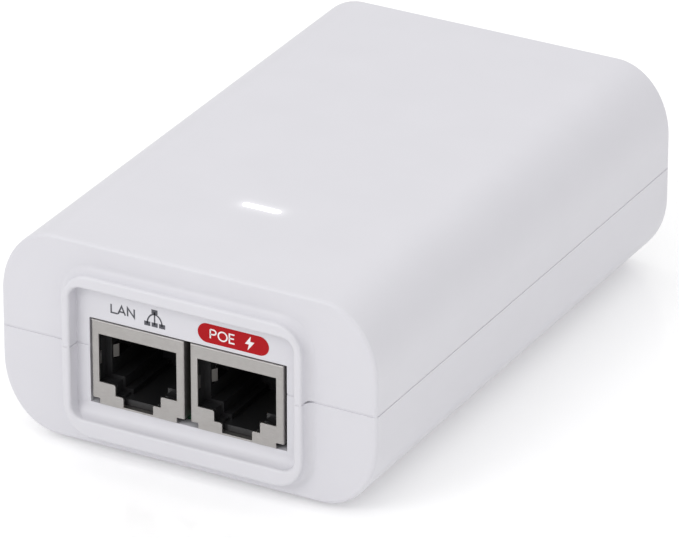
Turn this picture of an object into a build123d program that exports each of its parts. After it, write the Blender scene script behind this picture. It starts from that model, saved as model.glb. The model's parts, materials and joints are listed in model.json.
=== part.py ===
from build123d import *
import math
import os

# Power-over-Ethernet injector. Millimetres, +Z up, ports face -Y.
# The origin is on the surface it stands on, under the middle of the case.

# ---- Case ----
case_width = 64.4
case_length = 98.0
case_height = 33.7
corner_across = 9.3        # reach of the rounded long edges, inwards from the sides
corner_up = 11.4           # reach of the same edges, up and down the sides
face_edge_radius = 0.6
wall = 2.0
end_wall = 2.25
parting_height = 16.66     # above the underside of the case
seam_width = 0.34
seam_depth = 0.1
tongue_height = 1.2
tongue_thickness = 0.9
tongue_clearance = 0.08

# ---- Feet and case screws ----
foot_stand = 0.9           # how far the feet lift the case
foot_radius = 4.0
foot_seat_depth = 1.0
foot_clearance = 0.1
foot_edge_chamfer = 0.3
foot_inset_side = 14.3
foot_inset_end = 18.0
screw_jack_gap = 0.67       # screw bosses to the sides of the jacks
screw_inset_end = 8.0
screw_head_radius = 2.6
screw_head_height = 1.8
screw_shank_radius = 1.4
screw_bite = 7.0           # length of shank inside the top cover
screw_cross = (3.0, 0.6)   # length and width of the drive recess's slots
screw_clearance = 0.3
pilot_clearance = 0.02
screw_seat_thickness = 1.4
boss_wall = 1.3

# ---- Circuit board ----
board_thickness = 1.6
board_standoff = 6.58      # underside of the board above the underside of the case
board_wall_gap = 2.2          # board edges to the inside of the side walls
board_end_gap = 0.3        # board edge to the end wall
lead_pitch = 2.54
lead_radius = 0.35
lead_clearance = 0.15
lead_stub = 1.2            # length of a lead below the board
solder_reach = 0.6         # how far a lead runs up inside its body
part_gap = 0.8
sheet_thickness = 0.4
sheet_edge_gap = 1.0
sheet_floor_gap = 0.02
sheet_boss_gap = 0.25

# ---- RJ45 jacks ----
jack_width = 16.0
jack_depth = 18.5
jack_gap = 1.06
shield_thickness = 0.3
shield_edge_radius = 0.28
shield_skirt_drop = 0.93   # front skirt below the board's top
shield_skirt_inset = 1.35  # skirt narrower than the jack, each side
shield_lip_depth = 1.2
mouth_width = 13.46
mouth_from_top = 2.2       # jack top to the mouth
mouth_height = 8.1
mouth_tab_depth = 0.9      # sides of the mouth folded inwards at the height of the leaf springs
latch_shoulder_width = 7.9
latch_shoulder_drop = 1.8
latch_width = 5.16
latch_drop = 1.6
latch_corner_radius = 0.3
insert_setback = 1.0
insert_clearance = 0.05
insert_floor = 0.4
insert_nose_gap = 0.15     # insert to the front edge of the board
insert_mouth_margin = 0.25
insert_mouth_depth = 1.6
plug_width = 11.9
plug_depth = 14.0
plug_height = 7.4
plug_floor_step = 0.35
insert_back_gap = 0.9
contact_count = 8
contact_pitch = 1.02
contact_radius = 0.19
contact_slot_clearance = 0.12
contact_pivot_setback = 2.9       # mouth face to the pivot of the springs
contact_pivot_drop = 0.75         # roof of the plug space to the pivot
contact_length = 7.4
contact_slope = 12.0
contact_tip_length = 0.9
contact_tip_slope = 30.0
contact_bend = 0.6
contact_slot_reach = 1.2          # slots ahead of the pivot
tail_rise = 0.55                  # roof of the plug space to the tails
tail_fold_gap = 0.12
tail_fold_reach = (0.15, 0.55)    # lower and upper end of the fold ahead of the pivot
tail_bend = 0.22
leaf_height = 2.1
leaf_thickness = 0.22
leaf_rise = 6.6                   # board to the middle of the leaf springs
leaf_bulge = 0.35                 # how far a leaf stands into the plug space
leaf_lead_in = 0.35               # how far its free end bends back into the insert
leaf_tip_depth = 3.2              # face of the jack to the free end, the crest and the root
leaf_crest_depth = 4.1
leaf_root_depth = 7.8
leaf_clearance = 0.25
shield_tab_width = 1.6
shield_tab_setback = 12.0

# ---- Port panel and raised rim, the same at both ends ----
rim_proud = 2.1
rim_crest = 1.4
rim_crest_top = 2.15
rim_crest_bottom = 2.85
rim_corner_radius = 4.8
rim_blend = 1.3
rim_edge_radius = 0.5
panel_sunk = 0.25
panel_side_margin = 2.67          # jack opening to the rim's inner wall
panel_label_band = 5.67           # jack opening to the rim's inner wall, above
panel_lower_band = 2.2            # jack opening to the rim's inner wall, below
panel_corner_radius = 2.0
panel_ramp_depth = 1.8
panel_ramp_overlap = 0.5
jack_side_clearance = 0.42
jack_top_clearance = 0.12
jack_skirt_clearance = 0.15

# ---- Status light ----
light_width = 6.5
light_thickness = 1.25
light_behind_jacks = 4.6
light_clearance = 0.06
light_flange = 0.9
light_flange_height = 1.0
led_size = (3.2, 2.6, 1.6)
led_cup = (0.5, 1.0, 0.5)         # lower radius, upper radius, depth
led_gap = 0.4

# ---- AC inlet, three-pin appliance inlet ----
inlet_width = 24.0
inlet_height = 18.0
inlet_depth = 21.0
inlet_lift = 0.5                  # inlet above the board
inlet_corner_radius = 3.0
inlet_flange = 1.6
inlet_flange_thickness = 1.6
inlet_flange_radius = 1.0
inlet_clearance = 0.15
inlet_recess_depth = 14.0
lobe_radius = 4.6
line_pin_offset = 5.0
line_pin_drop = 2.0
earth_pin_rise = 2.6
pin_radius = 1.2
pin_length = 12.0
pin_clearance = 0.02
pin_tip_chamfer = 0.4
pin_blade_width = 1.6
pin_blade_thickness = 0.8
pin_blade_gap = 0.5               # blades behind the inlet

# ---- Board parts ----
moulding_radius = 0.3
magnetics_size = (15.2, 9.4, 5.6)
magnetics_legs = (1.27, 11)       # pitch and count along one side, as for the chips below
can_edge_radius = 0.5
can_crimp_height = 2.2
can_crimp_radius = 0.55
can_crimp_depth = 0.3
can_score = 0.3                   # width and depth of the vent's scored cross
can_score_reach = 0.6             # as a share of the radius
output_cap_radius = 5.0
output_cap_headroom = 7.5         # ceiling to the top of the part, as for the ones below
output_cap_gap = 0.5
transformer_width = 22.0
transformer_depth = 19.0
core_thickness = 6.0
core_leg = 6.0
core_outer_leg = 3.0
coil_headroom = 5.1
winding_margin = 0.3
winding_gap = 0.05
winding_flange_gap = 0.2
winding_corner = 1.6
bobbin_wall = 0.8
bobbin_fit = 0.15
bobbin_rail_height = 3.0
bobbin_pins = (-5.0, -2.5, 2.5, 5.0)
bulk_cap_radius = 8.0
bulk_cap_headroom = 2.5
heat_sink_thickness = 1.5
heat_sink_length = 17.0
heat_sink_fold_gap = 0.3          # package tab to the folded top
heat_sink_fold = 5.0
heat_sink_pin_inset = 2.0
package_size = (4.4, 10.0, 9.2)
package_tab_height = 6.2
package_tab_thickness = 1.3
package_lift = 4.0
tab_screw_radius = 1.5
tab_screw_head = (2.6, 1.8)       # radius and height
tab_screw_stub = 0.8
tab_screw_clearance = 0.1
choke_radius = 7.6
choke_bore = 3.0
choke_core_thickness = 5.0
choke_wire_radius = 0.55
choke_wire_gap = 0.04
choke_turns = 6
choke_depth = 8.2
choke_edge_radius = 0.5
choke_wire_bend = 0.6
choke_base_thickness = 1.2
choke_pin_inset = 1.2
x_cap_size = (13.0, 6.0, 12.0)
x_cap_lead_inset = 1.5
bridge_size = (14.8, 3.6, 10.6)
bridge_lift = 2.0
bridge_leads = 4
bridge_lead_inset = 1.8
y_cap_radius = 4.0
y_cap_thickness = 3.4
disc_lift = 2.0
disc_pitch = 5.0
disc_edge = 0.35                  # as a share of the thickness
fuse_radius = 4.2
fuse_height = 7.7
varistor_radius = 4.6
varistor_thickness = 3.6
leg_size = (0.4, 0.9)
leg_reach = 0.35                  # side of the body to the middle of a leg
controller_size = (5.0, 4.0, 1.5)
controller_legs = (1.27, 4)
optocoupler_size = (4.6, 6.4, 2.0)
optocoupler_legs = (2.54, 2)
poe_chip_size = (6.5, 4.4, 1.1)
poe_chip_legs = (0.65, 8)
solder_gap = 0.1
chip_size = (2.0, 1.25, 0.6)
chip_pitch = 2.2
chip_gap = 1.2
chip_rows = 4

# ---- Levels and faces worked out from the sizes above ----
case_bottom = foot_stand
case_top = case_bottom + case_height
parting = case_bottom + parting_height
front_face = -case_length / 2
back_face = case_length / 2
board_under = case_bottom + board_standoff
board_top = board_under + board_thickness
board_half = case_width / 2 - wall - board_wall_gap
board_front = front_face + end_wall + board_end_gap
board_back = back_face - end_wall - board_end_gap
floor = case_bottom + wall
ceiling = case_top - wall
room_height = ceiling - board_top
output_cap_height = room_height - output_cap_headroom
bulk_cap_height = room_height - bulk_cap_headroom
tab_top = package_lift + package_size[2] + package_tab_height
heat_sink_height = tab_top + heat_sink_fold_gap + heat_sink_thickness

latch_reach = latch_shoulder_drop + latch_drop
jack_height = mouth_from_top + mouth_height + latch_reach + shield_thickness - shield_skirt_drop
jack_top = board_top + jack_height
jack_back = front_face + jack_depth
jack_centres = (-(jack_width + jack_gap) / 2, (jack_width + jack_gap) / 2)
skirt_bottom = board_top - shield_skirt_drop
mouth_top = jack_top - mouth_from_top
mouth_bottom = mouth_top - mouth_height
plug_floor = mouth_bottom + plug_floor_step
plug_roof = plug_floor + plug_height
insert_back = jack_back - shield_thickness - insert_back_gap
pivot_y = front_face + contact_pivot_setback
pivot_z = plug_roof - contact_pivot_drop
tail_z = plug_roof + tail_rise
tail_y = insert_back + insert_back_gap / 2

ports_half_width = jack_width + jack_gap / 2 + jack_side_clearance
ports_top = jack_top + jack_top_clearance
ports_bottom = skirt_bottom - jack_skirt_clearance
panel_half_width = ports_half_width + panel_side_margin - jack_side_clearance
panel_top = ports_top + panel_label_band
panel_bottom = ports_bottom - panel_lower_band
rim_half_width = panel_half_width + rim_crest
rim_top = panel_top + rim_crest_top
rim_bottom = panel_bottom - rim_crest_bottom
rim_front = front_face - rim_proud

inlet_bottom = board_top + inlet_lift
inlet_middle = inlet_bottom + inlet_height / 2
inlet_face = back_face - panel_sunk
inlet_front = inlet_face - inlet_depth

light_y = jack_back + light_behind_jacks
boss_radius = screw_shank_radius + boss_wall
screw_x = jack_width + jack_gap / 2 + screw_jack_gap + boss_radius
screw_y = case_length / 2 - screw_inset_end
foot_x = case_width / 2 - foot_inset_side
foot_y = case_length / 2 - foot_inset_end
screw_seat = floor + screw_seat_thickness

# Leads that pass through the board, as (x, y, half width, half depth).
board_holes = []


# ---- Helpers ----
def upright(y):
    """Plane across the case at y, drawn as seen from the front (x right, z up)."""
    return Plane(origin=(0, y, 0), x_dir=(1, 0, 0), z_dir=(0, -1, 0))


def prism(outline, y_front, y_back):
    """An outline drawn in x and z, run from y_front to y_back."""
    return extrude(upright(y_back) * outline, amount=y_back - y_front)


def block(x_low, x_high, y_low, y_high, z_low, z_high):
    size = (x_high - x_low, y_high - y_low, z_high - z_low)
    return Pos((x_low + x_high) / 2, (y_low + y_high) / 2, (z_low + z_high) / 2) * Box(*size)


def rounded(x_half, z_low, z_high, radius):
    """A rounded rectangle in x and z, centred on x = 0."""
    return Pos(0, (z_low + z_high) / 2) * RectangleRounded(2 * x_half, z_high - z_low, radius)


def post(x, y, z_low, z_high, radius):
    return Pos(x, y, (z_low + z_high) / 2) * Cylinder(radius, z_high - z_low)


def rod(x, z, y_low, y_high, radius):
    """A round bar along Y."""
    return Pos(x, (y_low + y_high) / 2, z) * Rot(90, 0, 0) * Cylinder(radius, y_high - y_low)


def slot_pill(width, thickness, z_low, z_high, y):
    """An upright bar with rounded ends, long across the case."""
    outline = SlotOverall(width, thickness)
    return Pos(0, y, z_low) * extrude(outline, amount=z_high - z_low)


def bent_wire(points, radius, bend):
    """A round wire along straight runs joined by bends."""
    path = FilletPolyline(*points, radius=bend)
    start = Plane(origin=path @ 0, z_dir=path % 0)
    return sweep(start * Circle(radius), path=path)


def spread(widths, low, high):
    """Middles of things of the given widths, placed with equal gaps between low and high."""
    gap = (high - low - sum(widths)) / (len(widths) + 1)
    middles = []
    edge = low
    for width in widths:
        middles.append(edge + gap + width / 2)
        edge += gap + width
    return middles


def seated(body, x, y, leads):
    """Stand a body, drawn with its foot at the origin, on the board with its leads through it."""
    lead_drop = board_thickness + lead_stub
    for lead_x, lead_y in leads:
        lead = Pos(lead_x, lead_y, (solder_reach - lead_drop) / 2)
        body += lead * Cylinder(lead_radius, solder_reach + lead_drop)
        hole_half = lead_radius + lead_clearance
        board_holes.append((x + lead_x, y + lead_y, hole_half, hole_half))
    return Pos(x, y, board_top) * body


def four_corners(x, y):
    return [(sx * x, sy * y) for sx in (-1, 1) for sy in (-1, 1)]


# ---- Case ----
def loaf_outline(inset):
    """Cross-section of the case with elliptical long edges, moved in by inset."""
    half = case_width / 2 - inset
    across = corner_across - inset
    up = corner_up - inset
    low = case_bottom + inset
    high = case_top - inset
    flat = half - across
    lines = [
        Line((-flat, low), (flat, low)),
        EllipticalCenterArc((flat, low + up), across, up, 270, arc_size=90),
        Line((half, low + up), (half, high - up)),
        EllipticalCenterArc((flat, high - up), across, up, 0, arc_size=90),
        Line((flat, high), (-flat, high)),
        EllipticalCenterArc((-flat, high - up), across, up, 90, arc_size=90),
        Line((-half, high - up), (-half, low + up)),
        EllipticalCenterArc((-flat, low + up), across, up, 180, arc_size=90),
    ]
    return make_face(lines)


def loaf(inset, end_inset):
    return prism(loaf_outline(inset), front_face + end_inset, back_face - end_inset)


def both_ends(part):
    """A part drawn at the front end, and the same at the back."""
    return part + mirror(part, about=Plane.XZ)


def rim_bar(inset):
    """The block that the raised rim is cut from, at the front end."""
    radius = rim_corner_radius - inset
    outline = rounded(rim_half_width - inset, rim_bottom + inset, rim_top - inset, radius)
    return prism(outline, rim_front + inset, front_face + end_wall)


def panel_pocket(grow):
    """The sunk panel inside the rim, at the front end."""
    radius = panel_corner_radius + grow
    outline = rounded(panel_half_width + grow, panel_bottom - grow, panel_top + grow, radius)
    return prism(outline, rim_front - 1, front_face + panel_sunk + grow)


def panel_ramp():
    """Concave ramp from the panel down to the rim's lower wall, at the front end."""
    wall_y = front_face + panel_sunk
    foot_y = wall_y - panel_ramp_depth
    ramp_top = ports_bottom
    back = wall_y + panel_ramp_overlap
    low = panel_bottom - panel_ramp_overlap
    lines = [
        EllipticalCenterArc((foot_y, ramp_top), panel_ramp_depth, ramp_top - panel_bottom, 270, arc_size=90),
        Line((wall_y, ramp_top), (back, ramp_top)),
        Line((back, ramp_top), (back, low)),
        Line((back, low), (foot_y, low)),
        Line((foot_y, low), (foot_y, panel_bottom)),
    ]
    section = Plane.YZ * make_face(lines)
    ramp = extrude(section, amount=panel_half_width, both=True)
    return ramp & panel_pocket(panel_ramp_overlap / 2)


def edges_at(part, y, corner_low, corner_high):
    """Edges of a part that lie in the plane at y, inside a box in x and z."""
    found = part.edges().filter_by_position(Axis.Y, y - 0.01, y + 0.01)
    found = found.filter_by_position(Axis.X, corner_low[0], corner_high[0])
    return found.filter_by_position(Axis.Z, corner_low[1], corner_high[1])


def case_outside():
    """The whole outside of the case, solid, with its rims, panels and blends."""
    body = loaf(0, 0)
    body = fillet(body.faces().filter_by(Axis.Y).edges(), face_edge_radius)
    body += both_ends(rim_bar(0))
    low = (-rim_half_width - 0.01, rim_bottom - 0.01)
    high = (rim_half_width + 0.01, rim_top + 0.01)
    for y in (front_face, back_face):
        body = fillet(edges_at(body, y, low, high), rim_blend)
    body -= both_ends(panel_pocket(0))
    for y in (rim_front, -rim_front):
        body = fillet(edges_at(body, y, low, high), rim_edge_radius)
    return body + both_ends(panel_ramp())


def seam_cutter():
    """Fine groove along the parting line, on every outside surface."""
    core = loaf(seam_depth, seam_depth) + both_ends(rim_bar(seam_depth))
    core -= both_ends(panel_pocket(seam_depth))
    reach = case_length
    slab = block(-reach, reach, -reach, reach, parting - seam_width / 2, parting + seam_width / 2)
    return slab - core


def ports_opening():
    """Way through the front wall for the two jacks."""
    y_low = rim_front - 1
    y_high = front_face + end_wall + 1
    return block(-ports_half_width, ports_half_width, y_low, y_high, ports_bottom, ports_top)


def inlet_opening():
    """Way through the back wall for the AC inlet."""
    x_half = inlet_width / 2 + inlet_clearance
    z_low = inlet_bottom - inlet_clearance
    z_high = inlet_bottom + inlet_height + inlet_clearance
    outline = rounded(x_half, z_low, z_high, inlet_corner_radius + inlet_clearance)
    return prism(outline, back_face - end_wall - 1, back_face + rim_proud + 1)


def tongue_ring(clearance):
    """The tongue of the bottom cover, or with clearance the rebate that takes it."""
    outer = loaf(wall - tongue_thickness - clearance, end_wall - tongue_thickness - clearance)
    inner = loaf(wall, end_wall)
    reach = case_length
    band = block(-reach, reach, -reach, reach, parting, parting + tongue_height + 2 * clearance)
    return (outer - inner) & band


def hollow_case():
    return case_outside() - loaf(wall, end_wall) - ports_opening() - inlet_opening() - seam_cutter()


def top_cover(shell):
    reach = case_length
    cover = shell & block(-reach, reach, -reach, reach, parting, case_top + 1)
    cover -= tongue_ring(tongue_clearance)
    for x, y in four_corners(screw_x, screw_y):
        boss = post(x, y, board_top, case_top, boss_radius) & loaf(wall / 2, end_wall / 2)
        cover += boss
        cover -= post(x, y, board_top - 1, board_top + screw_bite + 1, screw_shank_radius + pilot_clearance)
    light_slot = slot_pill(light_width, light_thickness, ceiling - 1, case_top + 1, light_y)
    return cover - light_slot


def bottom_cover(shell):
    reach = case_length
    cover = shell & block(-reach, reach, -reach, reach, case_bottom - 1, parting)
    cover += tongue_ring(0) - ports_opening() - inlet_opening()
    head_bore = screw_head_radius + screw_clearance
    for x, y in four_corners(screw_x, screw_y):
        cover += post(x, y, case_bottom, board_under, head_bore + boss_wall) & loaf(wall / 2, end_wall / 2)
        cover -= post(x, y, case_bottom - 1, screw_seat, head_bore)
        cover -= post(x, y, case_bottom, board_under + 1, screw_shank_radius + screw_clearance)
    for x, y in four_corners(foot_x, foot_y):
        cover -= post(x, y, case_bottom - 1, case_bottom + foot_seat_depth, foot_radius + foot_clearance)
    return cover


def rubber_feet():
    foot = Cylinder(foot_radius, foot_stand + foot_seat_depth)
    foot = chamfer(foot.edges().sort_by(Axis.Z)[0], foot_edge_chamfer)
    middle = (foot_stand + foot_seat_depth) / 2
    return [Pos(x, y, middle) * foot for x, y in four_corners(foot_x, foot_y)]


def case_screws():
    """Pan-head screws from below, through the board into the top cover."""
    screws = []
    for x, y in four_corners(screw_x, screw_y):
        head = post(x, y, screw_seat - screw_head_height, screw_seat, screw_head_radius)
        shank = post(x, y, screw_seat, board_top + screw_bite, screw_shank_radius)
        slot_depth = screw_head_height / 2
        length, width = screw_cross
        cross = Box(length, width, slot_depth) + Box(width, length, slot_depth)
        drive = Pos(x, y, screw_seat - screw_head_height + slot_depth / 2) * cross
        screws.append(head + shank - drive)
    return screws


# ---- Status light ----
def light_pipe():
    width = light_width - 2 * light_clearance
    thickness = light_thickness - 2 * light_clearance
    foot = board_top + led_size[2] + led_gap
    pipe = slot_pill(width, thickness, foot, case_top, light_y)
    flange_top = ceiling - light_clearance
    flange_width = light_width + 2 * light_flange
    flange_depth = light_thickness + 2 * light_flange
    pipe += slot_pill(flange_width, flange_depth, flange_top - light_flange_height, flange_top, light_y)
    return pipe


def status_led():
    body = Pos(0, light_y, board_top + led_size[2] / 2) * Box(*led_size)
    cup = Pos(0, light_y, board_top + led_size[2] - led_cup[2] / 2) * Cone(*led_cup)
    return body - cup


# ---- RJ45 jacks ----
def mouth_outline(half_width, low, high, bottom, margin):
    """Mouth of a jack: a rectangle with two narrower steps below it for the plug's latch."""
    shoulder = low - latch_shoulder_drop
    outline = Pos(0, (low + high) / 2) * Rectangle(2 * half_width, high - low)
    for width, step_low in ((latch_shoulder_width, shoulder), (latch_width, bottom)):
        outline += Pos(0, (step_low + low) / 2) * Rectangle(width + 2 * margin, low - step_low)
    return outline


def shield_mouth():
    """The mouth cut in the sheet, with the corners that stand into it rounded."""
    bottom = skirt_bottom + shield_thickness
    outline = mouth_outline(mouth_width / 2, mouth_bottom, mouth_top, bottom, 0).face()
    shoulder = mouth_bottom - latch_shoulder_drop
    places = ((latch_shoulder_width / 2, mouth_bottom), (latch_width / 2, shoulder))
    corners = []
    for half, z in places:
        for vertex in outline.vertices():
            if abs(abs(vertex.X) - half) < 0.01 and abs(vertex.Y - z) < 0.01:
                corners.append(vertex)
    return fillet(corners, latch_corner_radius)


def jack_shield(centre):
    """Folded sheet-metal can: face with its mouth, top, sides, back, skirt, springs and ground tabs."""
    half = jack_width / 2
    can = block(-half, half, front_face, jack_back, board_top, jack_top)
    front_edges = can.edges().filter_by_position(Axis.Y, front_face - 0.01, front_face + 0.01)
    can = fillet(front_edges.sort_by(Axis.Z)[1:], shield_edge_radius)
    sheet = shield_thickness
    inside = half - sheet
    can -= block(-inside, inside, front_face + sheet, jack_back - sheet, board_top - 1, jack_top - sheet)
    skirt_half = half - shield_skirt_inset
    can += block(-skirt_half, skirt_half, front_face, front_face + sheet, skirt_bottom, board_top + 1)
    can -= prism(shield_mouth(), front_face - 1, front_face + sheet)
    lip_half = latch_width / 2 + 1
    lip_back = front_face + shield_lip_depth
    can += block(-lip_half, lip_half, front_face, lip_back, skirt_bottom, skirt_bottom + sheet)
    for side in (-1, 1):
        can -= leaf_window(side)
        can += leaf_spring(side)
        can += mouth_tab(side)
        tab_x = side * (half - sheet / 2)
        tab_y = front_face + shield_tab_setback
        tab_bottom = board_under - lead_stub
        can += block(tab_x - sheet / 2, tab_x + sheet / 2, tab_y - shield_tab_width / 2,
                     tab_y + shield_tab_width / 2, tab_bottom, board_top + 1)
        board_holes.append((centre + tab_x, tab_y, sheet / 2 + lead_clearance,
                            shield_tab_width / 2 + lead_clearance))
    return Pos(centre, 0, 0) * can


def leaf_band(x_near, x_far, y_low, y_high, margin):
    """A block across the height of the leaf springs, with a margin above and below."""
    middle = board_top + leaf_rise
    reach = leaf_height / 2 + margin
    return block(min(x_near, x_far), max(x_near, x_far), y_low, y_high, middle - reach, middle + reach)


def leaf_spring(side):
    """Side spring cut from the wall of the can: its crest is in the plug space, its free end bent back."""
    crest = plug_width / 2 - leaf_bulge + leaf_thickness / 2
    route = [
        (side * (jack_width / 2 - shield_thickness / 2), front_face + leaf_root_depth),
        (side * crest, front_face + leaf_crest_depth),
        (side * (crest + leaf_bulge + leaf_lead_in), front_face + leaf_tip_depth),
    ]
    outline = trace(Polyline(*route), leaf_thickness)
    bottom = board_top + leaf_rise - leaf_height / 2
    return Pos(0, 0, bottom) * extrude(outline, amount=leaf_height)


def leaf_window(side):
    """The gap in the wall of the can that its leaf spring was cut from."""
    wall_inside = side * (jack_width / 2 - shield_thickness)
    wall_outside = side * (jack_width / 2 + 1)
    y_low = front_face + leaf_tip_depth
    y_high = front_face + leaf_root_depth - leaf_thickness
    return leaf_band(wall_inside, wall_outside, y_low, y_high, leaf_clearance)


def mouth_tab(side):
    """Edge of the mouth folded inwards beside the leaf spring."""
    edge = side * mouth_width / 2
    return leaf_band(edge, edge + side * shield_thickness, front_face, front_face + mouth_tab_depth, 0)


def jack_insert(centre):
    """Black plastic insert with the plug space, slots for the contacts and windows for the leaf springs."""
    half = jack_width / 2 - shield_thickness - insert_clearance
    front = front_face + insert_setback
    top = jack_top - shield_thickness - insert_clearance
    under = board_top + insert_clearance
    insert = block(-half, half, front, insert_back, under, top)
    nose_bottom = skirt_bottom + shield_thickness + insert_clearance
    insert += block(-half, half, front, board_front - insert_nose_gap, nose_bottom, under + insert_floor)
    bottom = under + insert_floor
    margin = insert_mouth_margin
    mouth = mouth_outline(mouth_width / 2 + margin, mouth_bottom - margin / 2, mouth_top, bottom, margin)
    insert -= prism(mouth, front - 1, front + insert_mouth_depth)
    plug = mouth_outline(plug_width / 2, plug_floor, plug_roof, bottom, -margin)
    insert -= prism(plug, front - 1, front_face + plug_depth)
    for side in (-1, 1):
        y_low = front_face + leaf_tip_depth - leaf_thickness
        y_high = front_face + leaf_root_depth + leaf_thickness + leaf_clearance
        insert -= leaf_band(0, side * (half + 1), y_low, y_high, leaf_clearance)
    for x in contact_places():
        slot_half = contact_radius + contact_slot_clearance
        insert -= block(x - slot_half, x + slot_half, pivot_y - contact_slot_reach, insert_back + 1,
                        plug_roof - contact_slot_clearance, tail_z + slot_half)
    return Pos(centre, 0, 0) * insert


def contact_places():
    first = -contact_pitch * (contact_count - 1) / 2
    return [first + contact_pitch * i for i in range(contact_count)]


def contact_springs(centre):
    """Free ends of the eight contacts, sloping back and down into the plug space from their pivot."""
    slope = math.radians(contact_slope)
    tip_slope = math.radians(contact_tip_slope)
    knee_y = pivot_y + contact_length * math.cos(slope)
    knee_z = pivot_z - contact_length * math.sin(slope)
    tip_y = knee_y + contact_tip_length * math.cos(tip_slope)
    tip_z = knee_z - contact_tip_length * math.sin(tip_slope)
    springs = []
    for x in contact_places():
        route = [(centre + x, pivot_y, pivot_z), (centre + x, knee_y, knee_z), (centre + x, tip_y, tip_z)]
        springs.append(bent_wire(route, contact_radius, contact_bend))
    return springs


def contact_tails(centre):
    """Fixed runs of the eight contacts: fold, along the roof, down the back and through the board."""
    bottom = board_under - lead_stub
    fold_z = pivot_z + contact_radius + tail_fold_gap
    low_reach, high_reach = tail_fold_reach
    tails = []
    for x in contact_places():
        place = centre + x
        route = [
            (place, pivot_y - low_reach, fold_z + contact_radius),
            (place, pivot_y - high_reach, tail_z),
            (place, tail_y, tail_z),
            (place, tail_y, bottom),
        ]
        tails.append(bent_wire(route, contact_radius, tail_bend))
        hole_half = contact_radius + lead_clearance
        board_holes.append((place, tail_y, hole_half, hole_half))
    return tails


# ---- AC inlet ----
def pin_places():
    """Line, neutral and earth pins, in x and z."""
    low = inlet_middle - line_pin_drop
    return [(-line_pin_offset, low), (line_pin_offset, low), (0, inlet_middle + earth_pin_rise)]


def ac_inlet_body():
    outline = rounded(inlet_width / 2, inlet_bottom, inlet_bottom + inlet_height, inlet_corner_radius)
    body = prism(outline, inlet_front, inlet_face)
    flange_back = back_face - end_wall - inlet_clearance
    flange_bottom = inlet_bottom - inlet_lift + inlet_clearance
    flange_top = inlet_bottom + inlet_height + inlet_flange
    flange = rounded(inlet_width / 2 + inlet_flange, flange_bottom, flange_top, inlet_flange_radius)
    body += prism(flange, flange_back - inlet_flange_thickness, flange_back)
    recess = Pos(0, inlet_middle - line_pin_drop) * Rectangle(2 * line_pin_offset, 2 * lobe_radius)
    for x, z in pin_places():
        recess += Pos(x, z) * Circle(lobe_radius)
    body -= prism(recess, inlet_face - inlet_recess_depth, inlet_face + 1)
    for x, z in pin_places():
        body -= rod(x, z, inlet_front - 1, inlet_face, pin_radius + pin_clearance)
    return body


def ac_inlet_pins():
    """Three round pins with flat blades that turn down to the board."""
    tip = inlet_face - inlet_recess_depth + pin_length
    blade_back = inlet_front - pin_blade_gap
    pins = []
    for number, (x, z) in enumerate(pin_places()):
        blade_front = blade_back - pin_blade_thickness
        pin = rod(x, z, blade_front, tip, pin_radius)
        pin = chamfer(pin.edges().sort_by(Axis.Y)[-1], pin_tip_chamfer)
        bottom = board_under - lead_stub
        pin += block(x - pin_blade_width / 2, x + pin_blade_width / 2, blade_front, blade_back, bottom, z)
        board_holes.append((x, (blade_front + blade_back) / 2, pin_blade_width / 2 + lead_clearance,
                            pin_blade_thickness / 2 + lead_clearance))
        pins.append(pin)
    return pins


# ---- Parts on the board ----
signal_row = jack_back + part_gap + output_cap_radius
signal_back = jack_back + part_gap + 2 * output_cap_radius
filter_front_limit = inlet_front - pin_blade_gap - pin_blade_thickness - lead_clearance
row_room = filter_front_limit - signal_back - transformer_depth - choke_depth
row_gap = row_room / 3
power_row = signal_back + row_gap + transformer_depth / 2
filter_row = filter_front_limit - row_gap - choke_depth / 2
usable_half = board_half - part_gap
sink_x = usable_half - heat_sink_thickness / 2
package_x = sink_x - heat_sink_thickness / 2 - package_size[0] / 2
power_half = package_x - package_size[0] / 2
transformer_x, bulk_cap_x = spread([transformer_width, 2 * bulk_cap_radius], -power_half, power_half)
filter_widths = [y_cap_thickness, 2 * choke_radius + 2 * choke_wire_radius, x_cap_size[0], bridge_size[0]]
y_cap_x, choke_x, x_cap_x, bridge_x = spread(filter_widths, -usable_half, usable_half)
light_half = light_width / 2 + light_flange
magnetics_x = -light_half - part_gap - magnetics_size[0] / 2
output_cap_first = light_half + part_gap + output_cap_radius
output_cap_places = [output_cap_first, output_cap_first + 2 * output_cap_radius + output_cap_gap]


def electrolytic(radius, height):
    """Aluminium can capacitor with its crimp groove and scored vent."""
    can = Pos(0, 0, height / 2) * Cylinder(radius, height)
    can = fillet(can.edges().sort_by(Axis.Z)[-1], can_edge_radius)
    groove_radius = radius + can_crimp_radius - can_crimp_depth
    groove = Pos(0, 0, can_crimp_height) * Torus(groove_radius, can_crimp_radius)
    length = 2 * radius * can_score_reach
    score = Box(length, can_score, 2 * can_score) + Box(can_score, length, 2 * can_score)
    return can - groove - Pos(0, 0, height) * score


def disc(radius, thickness):
    """Dipped disc part standing on edge, thin across x."""
    body = Rot(0, 90, 0) * Cylinder(radius, thickness)
    body = fillet(body.edges(), thickness * disc_edge)
    return Pos(0, 0, radius + disc_lift) * body


def disc_part(radius, thickness, x, y):
    """A disc on two long leads."""
    half = disc_pitch / 2
    body = disc(radius, thickness)
    for lead_y in (-half, half):
        body += post(0, lead_y, 0, disc_lift + radius, lead_radius)
    return seated(body, x, y, [(0, -half), (0, half)])


def soft_box(size):
    """A moulded box standing on the origin, its upper edges rounded."""
    body = Pos(0, 0, size[2] / 2) * Box(*size)
    radius = min(moulding_radius, size[2] / 4)
    return fillet(body.edges().filter_by(Axis.Z) + body.faces().sort_by(Axis.Z)[-1].edges(), radius)


def output_capacitors():
    half = output_cap_radius / 2
    can = electrolytic(output_cap_radius, output_cap_height)
    return [seated(can, x, signal_row, [(0, -half), (0, half)]) for x in output_cap_places]


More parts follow.
